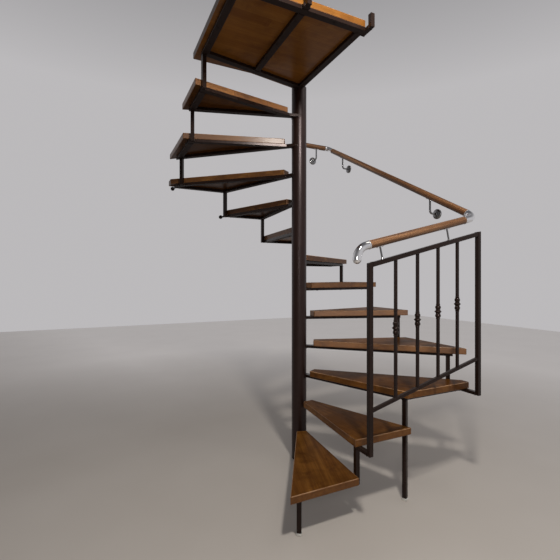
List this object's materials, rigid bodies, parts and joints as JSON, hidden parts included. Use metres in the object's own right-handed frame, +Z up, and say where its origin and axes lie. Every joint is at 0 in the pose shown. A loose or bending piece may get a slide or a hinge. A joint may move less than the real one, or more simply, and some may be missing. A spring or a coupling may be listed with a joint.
{
  "type": "spiral staircase",
  "caption": "Square-plan spiral staircase with wooden winder treads on welded dark steel frames around a round column, a square landing, a guard panel and a round wooden handrail.",
  "frame": {"origin": "centre of the flat foot of the round column, on the floor", "axes": "+Z up; X and Y along the sides of the square plan, the guard panel on the -Y side, the wall handrail on the +X and +Y sides, the landing over the quarter at -X and -Y; the stair climbs anticlockwise seen from above"},
  "size_m": [1.625, 1.7425, 2.771],
  "materials": {
    "dark_steel": "semi-gloss dark brown paint",
    "tread_wood": "glossy warm brown varnish on edge-glued staves",
    "landing_wood": "glossy warm brown varnish on edge-glued staves",
    "rail_wood": "satin brown varnish on turned wood",
    "bright_fittings": "polished chrome",
    "foot_plastic": "light grey matte plastic"
  },
  "bodies": {
    "root": {"column": "dark_steel", "tread_01": "tread_wood", "tread_02": "tread_wood", "tread_03": "tread_wood", "tread_04": "tread_wood", "tread_05": "tread_wood", "tread_06": "tread_wood", "tread_07": "tread_wood", "tread_08": "tread_wood", "tread_09": "tread_wood", "tread_10": "tread_wood", "tread_11": "tread_wood", "tread_12": "tread_wood", "tread_front_bars": "dark_steel", "tread_back_bars": "dark_steel", "tread_end_bars": "dark_steel", "tread_corner_bars": "dark_steel", "struts": "dark_steel", "floor_posts": "dark_steel", "post_feet": "foot_plastic", "landing_board": "landing_wood", "landing_front_bar": "dark_steel", "landing_far_bar": "dark_steel", "landing_cross_bars": "dark_steel", "hanger_arms": "dark_steel", "ceiling_hangers": "dark_steel", "guard_brackets": "dark_steel", "guard_posts": "dark_steel", "guard_rails": "dark_steel", "guard_balusters": "dark_steel", "lower_handrail": "rail_wood", "wall_handrail": "rail_wood", "back_handrail": "rail_wood", "handrail_end_tip": "bright_fittings", "handrail_end_bend": "bright_fittings", "handrail_sleeves": "bright_fittings", "handrail_front_joint": "bright_fittings", "handrail_back_joint": "bright_fittings", "handrail_end_cap": "bright_fittings", "handrail_pins": "bright_fittings", "wall_brackets": "bright_fittings", "wall_fixings": "dark_steel"}
  },
  "joints": []
}
